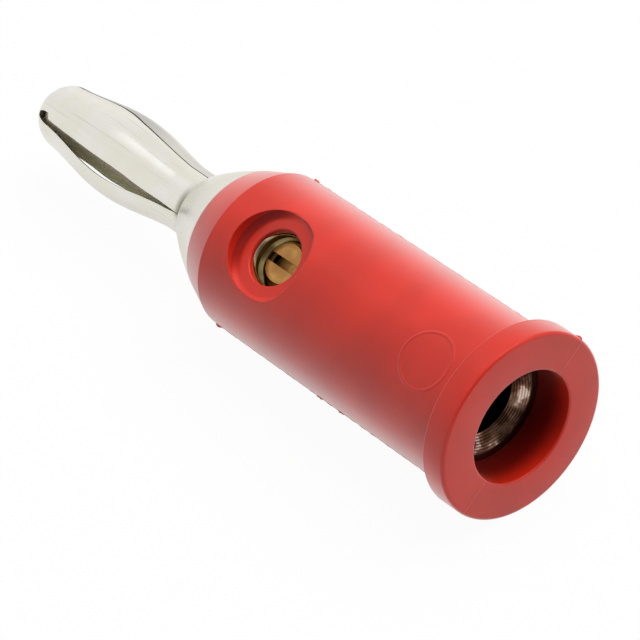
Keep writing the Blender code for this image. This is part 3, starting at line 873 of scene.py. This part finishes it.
def contact_leaves(look, shoulder, tip, material):
    """Four leaves bowed out round the post and joined in a dome, with a slot between each two."""
    dome_z = tip - look.cage_radius
    bow_start = shoulder + look.straight
    root_depth, nudge = 0.00085, 0.00001
    leaf_end = shoulder - root_depth
    slot_lean = radians(57)
    dome_steps, slot_steps, leaf_steps, columns = 12, 24, 96, 20

    def bow_share(z):
        middle = (bow_start + dome_z) / 2
        place = min(abs(z - middle) / (dome_z - middle), 1)
        return (cos(pi / 2 * place) + (1 + cos(pi * place)) / 2) / 2

    def slot_edge(slot, z, side):
        height = (z - leaf_end) / (tip - leaf_end)
        edges = SLOT_EDGES[slot % 4][side]
        return radians(smooth_between(SLOT_HEIGHTS, edges, height))

    rows = []
    leans = [slot_lean * step / dome_steps for step in range(1, dome_steps)]
    leans += [slot_lean + (pi / 2 - slot_lean) * step / slot_steps for step in range(slot_steps + 1)]
    for lean in leans:
        rows.append((look.cage_radius * sin(lean), lean, dome_z + look.cage_radius * cos(lean)))
    for step in range(1, leaf_steps + 1):
        z = dome_z + (leaf_end - dome_z) * step / leaf_steps
        rise = look.bulge * (bow_share(z - nudge) - bow_share(z + nudge))
        rows.append((look.cage_radius + look.bulge * bow_share(z), pi / 2 - atan2(rise, 2 * nudge), z))

    points, faces, grids = [], [], []
    for inset, slant in ((0, 0), (look.strip_thickness, look.edge_slant)):
        grid = []
        for leaf in range(4):
            sheet = []
            for radius, lean, z in rows:
                slanted = slant / radius if lean >= slot_lean else 0
                start, end = slot_edge(leaf - 1, z, 1) + slanted, slot_edge(leaf, z, 0) - slanted
                if end < start:
                    end += tau
                line = []
                for column in range(columns + 1):
                    angle = start + (end - start) * column / columns
                    r = radius - inset * sin(lean)
                    line.append(len(points))
                    points.append((r * cos(angle), r * sin(angle), z - inset * cos(lean)))
                sheet.append(line)
            grid.append(sheet)
        apex = len(points)
        points.append((0, 0, tip - inset))
        grids.append(grid)
        for leaf in range(4):
            beside = grid[(leaf + 1) % 4]
            for column in range(columns):
                faces.append((apex, grid[leaf][0][column], grid[leaf][0][column + 1]))
            faces.append((apex, grid[leaf][0][-1], beside[0][0]))
            for upper in range(len(rows) - 1):
                above, below = grid[leaf][upper], grid[leaf][upper + 1]
                for column in range(columns):
                    faces.append((above[column], below[column], below[column + 1], above[column + 1]))
                if upper + 1 < dome_steps:
                    faces.append((above[-1], below[-1], beside[upper + 1][0], beside[upper][0]))
    outer, inner = grids
    slot_row = dome_steps - 1
    for leaf in range(4):
        beside = (leaf + 1) % 4
        for row in range(slot_row, len(rows) - 1):
            for side in (0, -1):
                edge = (outer[leaf][row][side], outer[leaf][row + 1][side])
                faces.append(edge + (inner[leaf][row + 1][side], inner[leaf][row][side]))
        for column in range(columns):
            edge = (outer[leaf][-1][column], outer[leaf][-1][column + 1])
            faces.append(edge + (inner[leaf][-1][column + 1], inner[leaf][-1][column]))
        edge = (outer[leaf][slot_row][-1], outer[beside][slot_row][0])
        faces.append(edge + (inner[beside][slot_row][0], inner[leaf][slot_row][-1]))
    leaves = new_piece("contact_leaves", points, faces, material)
    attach(leaves, "plug")
    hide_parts("contact_spring")
    return leaves


# Fins of plastic that the mould left on its parting line: side, height, half length, height off the skin
FINS = (
    (1, 0.02010, 0.00030, 0.00013),
    (1, 0.00030, 0.00022, 0.00012),
    (1, 0.01320, 0.00025, 0.00005),
    (-1, 0.01995, 0.00026, 0.00013),
    (-1, 0.01160, 0.00030, 0.00009),
    (-1, 0.01080, 0.00022, 0.00006),
    (-1, 0.00990, 0.00028, 0.00009),
)


# Half the section of the rim round the ejector mark: distance from its middle, share of its height
HALF_RIM = ((0.00012, 0), (0.00009, 0.2), (0.00004, 0.8))
MARK_RIM = [(-across, out) for across, out in HALF_RIM] + [(0, 1)] + list(reversed(HALF_RIM))


def mould_flash(look, material):
    """The hair-thin ridges and fins on the parting line, and the rim round the ejector mark."""
    points, faces = [], []
    low, high = look.flange_height + 0.0004, look.body_length - 0.00015
    taper = look.body_length - look.taper_length
    half, sunk, steps = look.parting_width, 0.00004, 200

    def skin(z):
        if z < look.flange_height:
            return look.flange_radius
        narrowed = max(z - taper, 0) / look.taper_length
        return look.body_radius + (look.front_radius - look.body_radius) * narrowed

    for side in (-1, 1):
        rings = []
        for step in range(steps + 1):
            z = low + (high - low) * step / steps
            wander = 0.00002 * lumps.noise(Vector((side * 3.0, 0, z * 900)))
            tall = look.ridge_height * (0.7 + 0.6 * lumps.noise(Vector((side * 7.0, 1, z * 2500))))
            section = ((-half, -sunk), (-0.35 * half, tall), (0.35 * half, tall), (half, -sunk))
            rings.append([(side * (skin(z) + out), wander + across, z) for across, out in section])
        add_strip(points, faces, rings)
    for side, z, half_length, tall in FINS:
        rings = []
        for step in range(25):
            along = 2 * step / 24 - 1
            here = max(z + half_length * along, 0.00001)
            uneven = 0.75 + 0.5 * lumps.noise(Vector((z * 3000, side, 4 * along)))
            out = tall * sqrt(max(1 - along * along, 0)) * uneven
            thick = 0.00004 * (1.2 - 0.5 * abs(along))
            root = skin(here) - 0.00005
            shoulder = 0.6 * out + sunk
            section = ((-1.4 * thick, 0), (-thick, shoulder), (0, out + 0.00005))
            section += ((thick, shoulder), (1.4 * thick, 0))
            rings.append([(side * (root + off), across, here) for across, off in section])
        add_strip(points, faces, rings)
    rings = []
    mark_steps = 160
    for step in range(mark_steps):
        angle = tau * step / mark_steps
        tall = look.mark_flash * (0.75 + 0.5 * lumps.noise(Vector((2 * cos(angle), 2 * sin(angle), 5))))
        ring = []
        for across, out in MARK_RIM:
            radius = look.mark_radius + across
            x = radius * cos(angle)
            skin_radius = look.body_radius + (out * tall if out > 0 else -0.00002)
            ring.append((x, -sqrt(skin_radius**2 - x * x), look.mark_height + radius * sin(angle)))
        rings.append(ring)
    add_strip(points, faces, rings, closed=True)
    flash = new_piece("mould_flash", points, faces, material)
    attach(flash, "plug")
    return flash


def thread_swell(phase):
    """Height of a rounded thread, from 0 at its root to 1 at its crest, phase in turns from the crest."""
    wave = 0.5 + 0.5 * cos(tau * phase)
    return wave**0.85


def threaded_screw(look, low, high, axis_height, material):
    """The set screw with its real thread, dog point and driver slot, in the box of the solid it replaces."""
    crest = (high.x - low.x) / 2
    whole = high.y - low.y
    thread = whole - look.dog_length
    root = crest - look.thread_depth
    dog = look.dog_radius
    flat = dog - look.dog_chamfer
    rows_a_turn = 20
    rows = int(thread / look.pitch * rows_a_turn)
    stations = [(0.0, radius, False) for radius in (PINHOLE, 0.4 * crest, 0.7 * crest)]
    stations += [(thread * row / rows, crest, True) for row in range(rows + 1)]
    stations += [(thread + 0.00001, radius, False) for radius in (1.06 * dog, dog)]
    stations += [(thread + look.dog_length * part, dog, False) for part in (0.25, 0.5, 0.68)]
    for step in range(1, 5):
        turn = step / 4 * pi / 2
        along = whole - look.dog_chamfer * (1 - sin(turn))
        stations.append((along, flat + look.dog_chamfer * cos(turn), False))
    stations += [(whole, radius, False) for radius in (0.6 * flat, PINHOLE)]
    points, faces, rings = [], [], []
    for along, radius, is_thread in stations:
        ring = []
        for step in range(look.steps):
            angle = tau * step / look.steps
            reach = radius
            if is_thread:
                reach = root + (crest - root) * thread_swell(along / look.pitch + angle / tau)
                from_end = min(along, thread - along)
                reach = min(reach, crest - look.end_chamfer + 0.9 * from_end)
            ring.append((reach * cos(angle), low.y + along, axis_height + reach * sin(angle)))
        rings.append(ring)
    add_strip(points, faces, rings)
    screw = new_piece("threaded_set_screw", points, faces, material)

    slot = bpy.data.meshes.new("slot_cutter")
    block = bmesh.new()
    bmesh.ops.create_cube(block, size=1)
    sides = Vector((look.slot_width, 2 * look.slot_depth, 4 * crest))
    bmesh.ops.scale(block, vec=sides, verts=block.verts)
    bmesh.ops.translate(block, vec=Vector((0, low.y, axis_height)), verts=block.verts)
    block.to_mesh(slot)
    block.free()
    cut_with(screw, slot)
    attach(screw, "screw")
    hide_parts("set_screw")
    return screw


def tapped_thread(look, pitch, screw_end, material):
    """The thread in the barrel's side hole, from the barrel's outside to its bore, that takes the screw's."""
    steps_a_turn = 72
    sunk, fade = 0.00003, 0.00015
    wall = look.hole_radius + sunk
    outer_gap, inner_gap = 0.00022, 0.0001
    flank = ((0.07, 0.96), (0.20, 0.55), (0.40, 0.0))
    section = [(-across, tall) for across, tall in reversed(flank)] + [*flank, (0.0, -0.35)]
    turns_from, turns_to = -1.5, 4.5
    points, faces, rings = [], [], []
    for step in range(int((turns_to - turns_from) * steps_a_turn) + 1):
        turn = turns_from + step / steps_a_turn
        angle = -tau * turn
        middle = screw_end + (turn + 0.5) * pitch
        side = look.hole_radius * cos(angle)
        outer_face = -sqrt(look.barrel_radius**2 - side**2)
        inner_face = -sqrt(look.bore_radius**2 - side**2)
        outside = (middle - outer_face - outer_gap) / fade
        within = (inner_face - middle - inner_gap) / fade
        grown = max(0.0, min(1.0, outside, within))
        middle = max(outer_face + 0.0002, min(inner_face - inner_gap, middle))
        ring = []
        for across, tall in section:
            reach = wall - (look.thread_reach + sunk) * tall * (grown if tall > 0 else 1)
            y = middle + across * pitch * max(grown, 0.05)
            ring.append((reach * cos(angle), y, look.hole_height + reach * sin(angle)))
        rings.append(ring)
    add_strip(points, faces, rings)
    thread = new_piece("tapped_thread", points, faces, material)
    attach(thread, "plug")
    return thread


class PLUG_OT_mould_insulator(bpy.types.Operator):
    """Moulds the insulator with its red finish and the flash of its mould"""

    bl_idname = "plug.mould_insulator"
    bl_label = "Mould the Insulator"

    def execute(self, context):
        look = context.scene.plug_insulator
        hole_height = context.scene.plug_barrel.hole_height
        material = red_plastic(look, hole_height)
        moulded_insulator(look, hole_height, material)
        mould_flash(look, material)
        return {"FINISHED"}


class PLUG_OT_plate_barrel(bpy.types.Operator):
    """Plates the barrel and cuts the thread of its side hole"""

    bl_idname = "plug.plate_barrel"
    bl_label = "Plate the Barrel"

    def execute(self, context):
        look = context.scene.plug_barrel
        turned_barrel(look, context.scene.plug_spring, barrel_nickel(look))
        # Painted shade: the tapped thread is the darkened bare brass, with darker roots.
        tarnish = tinted(look.bare_brass_and_shade, 0.45)
        crest = look.hole_radius - look.thread_reach
        sizes = (look.hole_height, crest, look.hole_radius)
        brass = turned_brass("tapped_brass", look, look.bare_brass_and_shade, tarnish, *sizes)
        screw_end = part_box("set_screw")[0].y
        tapped_thread(look, context.scene.plug_screw.pitch, screw_end, brass)
        return {"FINISHED"}


class PLUG_OT_draw_spring(bpy.types.Operator):
    """Gives the contact spring its drawn and plated finish"""

    bl_idname = "plug.draw_spring"
    bl_label = "Finish the Contact Spring"

    def execute(self, context):
        look = context.scene.plug_spring
        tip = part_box("contact_spring")[1].z
        shoulder = context.scene.plug_barrel.shoulder_height
        contact_leaves(look, shoulder, tip, spring_nickel(look, tip - look.cage_radius, shoulder))
        return {"FINISHED"}


class PLUG_OT_turn_screw(bpy.types.Operator):
    """Turns the brass set screw with its thread, dog point and driver slot"""

    bl_idname = "plug.turn_screw"
    bl_label = "Turn the Set Screw"

    def execute(self, context):
        look = context.scene.plug_screw
        low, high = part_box("set_screw")
        crest = (high.x - low.x) / 2
        axis_height = (low.z + high.z) / 2
        sizes = (axis_height, crest - 0.25 * look.thread_depth, crest - look.thread_depth)
        brass = turned_brass("screw_brass_turned", look, look.brass, look.tarnish, *sizes)
        threaded_screw(look, low, high, axis_height, brass)
        return {"FINISHED"}


def table_finish(look):
    """White paper that keeps the object's soft shadow, and can be looked through from behind."""
    material, sheet, shader = new_finish("white_table", 0.0, Roughness=0.9, Specular_IOR_Level=0.0)
    tone = sheet.mix(sheet.noise(sheet.place(), 30.0, 2.0), look.table, tinted(look.table, 0.98))
    sheet.feed(shader.inputs["Base Color"], tone)
    path = sheet.add("ShaderNodeLightPath").outputs
    glow = sheet.add("ShaderNodeEmission", {"Color": (1, 1, 1, 1), "Strength": 1.0}).outputs[0]
    clear = sheet.add("ShaderNodeBsdfTransparent").outputs[0]
    straight = sheet.maths("MAXIMUM", path["Is Camera Ray"], path["Is Transmission Ray"])
    veil = sheet.line(path["Is Glossy Ray"], look.table_gleam, sheet.times(straight, look.table_veil))
    lit = sheet.blend(veil, shader.outputs[0], glow)
    from_behind = sheet.add("ShaderNodeNewGeometry").outputs["Backfacing"]
    surface = material.node_tree.nodes["Material Output"].inputs["Surface"]
    sheet.feed(surface, sheet.blend(from_behind, lit, clear))
    return material


def facing_matrix(place, way):
    """Where a flat thing stands that lies at a place and faces a direction."""
    return Matrix.Translation(place) @ way.to_track_quat("Z", "Y").to_matrix().to_4x4()


def lay_table(look):
    """A plane that the lying plug touches with its flange and the edge of its taper."""
    up = Vector(look.table_up).normalized()
    steps = 12
    row = steps + 1
    places = [look.table_size * (2 * step / steps - 1) for step in range(row)]
    corners = [j * row + i for j in range(steps) for i in range(steps)]
    faces = [(corner, corner + 1, corner + row + 1, corner + row) for corner in corners]
    points = [(x, y, 0) for y in places for x in places]
    table = put_in_scene("table", new_mesh("table", points, faces, table_finish(look)))
    table.matrix_world = facing_matrix(-look.table_drop * up, up)


def light_sky(look):
    """White all round to the eye, and a weaker even light on the object."""
    world = bpy.data.worlds.new("white_room")
    world.use_nodes = True
    sheet = Sheet(world.node_tree)
    path = sheet.add("ShaderNodeLightPath").outputs
    seen = sheet.maths("MAXIMUM", path["Is Camera Ray"], path["Is Glossy Ray"])
    seen = sheet.maths("MAXIMUM", seen, path["Is Transmission Ray"])
    strength = sheet.line(seen, 1.0 - look.sky, look.sky)
    ground = world.node_tree.nodes["Background"]
    ground.inputs["Color"].default_value = (1, 1, 1, 1)
    sheet.feed(ground.inputs["Strength"], strength)
    bpy.context.scene.world = world


def hang_softbox(name, way, distance, size, glow, tint=(1, 1, 1), mirrored=True):
    """A square lamp that faces the middle of the plug, with a face of the brightness given."""
    middle = (CAD_BOX[0] + CAD_BOX[1]) / 2
    lamp = bpy.data.lights.new(name, "AREA")
    lamp.shape = "SQUARE"
    lamp.size = size
    lamp.energy = glow * pi * size * size
    lamp.color = tint
    box = put_in_scene(name, lamp)
    way = Vector(way).normalized()
    box.matrix_world = facing_matrix(middle + way * distance, way)
    box.visible_camera = False
    box.visible_glossy = mirrored


def hang_card(look):
    """A grey card beside the camera, which keeps the wire mouth and the walls that face it dark."""
    way = Vector(look.card_towards).normalized()
    material, sheet, shader = new_finish("grey_card", 0.0, Roughness=1.0, Specular_IOR_Level=0.0)
    grey = sheet.mix(sheet.noise(sheet.place(), 400.0, 2.0), look.card, tinted(look.card, 0.9))
    sheet.feed(shader.inputs["Base Color"], grey)
    half = look.card_size / 2
    corners = [(-half, -half, 0), (half, -half, 0), (half, half, 0), (-half, half, 0)]
    card = put_in_scene("grey_card", new_mesh("grey_card", corners, [(0, 1, 2, 3)], material))
    card.matrix_world = facing_matrix(way * look.card_distance, way)
    card.visible_camera = False


def stand_camera(look):
    """The camera at the photograph's viewing angle."""
    camera = put_in_scene("camera", bpy.data.cameras.new("camera"))
    camera.data.sensor_width = 36
    camera.data.lens = look.lens
    camera.data.clip_start = 0.005
    camera.data.clip_end = 5
    back = -Vector(look.eye_forward).normalized()
    across = Vector(look.eye_up).cross(back).normalized()
    turn = Matrix((across, back.cross(across), back)).transposed().to_4x4()
    camera.matrix_world = Matrix.Translation(look.eye) @ turn
    bpy.context.scene.camera = camera


class PLUG_OT_set_stage(bpy.types.Operator):
    """Lays the table and sets up the lamps and the camera"""

    bl_idname = "plug.set_stage"
    bl_label = "Set the Stage"

    def execute(self, context):
        look = context.scene.plug_stage
        lay_table(look)
        light_sky(look)
        distance = look.lamp_distance
        key_size = look.key_width * distance
        glow = look.key_light * pi * distance**2 / key_size**2
        hang_softbox("key_lamp", look.key_towards, distance, key_size, glow, mirrored=False)
        rim_size, strip_size = 0.7 * distance, 0.25 * distance
        hang_softbox("rim_softbox", look.rim_towards, distance, rim_size, look.rim_glow)
        strip = (look.strip_towards, distance, strip_size, look.strip_glow, look.strip_tint)
        hang_softbox("strip_softbox", *strip)
        hang_card(look)
        stand_camera(look)
        context.scene.view_settings.view_transform = "Standard"
        return {"FINISHED"}


class PLUG_PT_dresser(bpy.types.Panel):
    """Lists the looks and the steps that use them"""

    bl_idname = "PLUG_PT_dresser"
    bl_label = "Banana Plug"
    bl_space_type = "VIEW_3D"
    bl_region_type = "UI"
    bl_category = "Banana Plug"

    def draw(self, context):
        for holder, look_type, step in STEPS:
            box = self.layout.box()
            look = getattr(context.scene, holder)
            for name in look_type.__annotations__:
                box.prop(look, name)
            box.operator(step.bl_idname)


STEPS = (
    ("plug_stage", StageLook, PLUG_OT_set_stage),
    ("plug_insulator", InsulatorLook, PLUG_OT_mould_insulator),
    ("plug_barrel", BarrelLook, PLUG_OT_plate_barrel),
    ("plug_spring", SpringLook, PLUG_OT_draw_spring),
    ("plug_screw", ScrewLook, PLUG_OT_turn_screw),
)


def register():
    for holder, look_type, step in STEPS:
        bpy.utils.register_class(look_type)
        bpy.utils.register_class(step)
        setattr(bpy.types.Scene, holder, PointerProperty(type=look_type))
    bpy.utils.register_class(PLUG_PT_dresser)


def unregister():
    bpy.utils.unregister_class(PLUG_PT_dresser)
    for holder, look_type, step in reversed(STEPS):
        delattr(bpy.types.Scene, holder)
        bpy.utils.unregister_class(step)
        bpy.utils.unregister_class(look_type)


def main():
    register()
    bpy.ops.plug.set_stage()
    bpy.ops.plug.mould_insulator()
    bpy.ops.plug.plate_barrel()
    bpy.ops.plug.draw_spring()
    bpy.ops.plug.turn_screw()


if __name__ == "__main__":
    main()
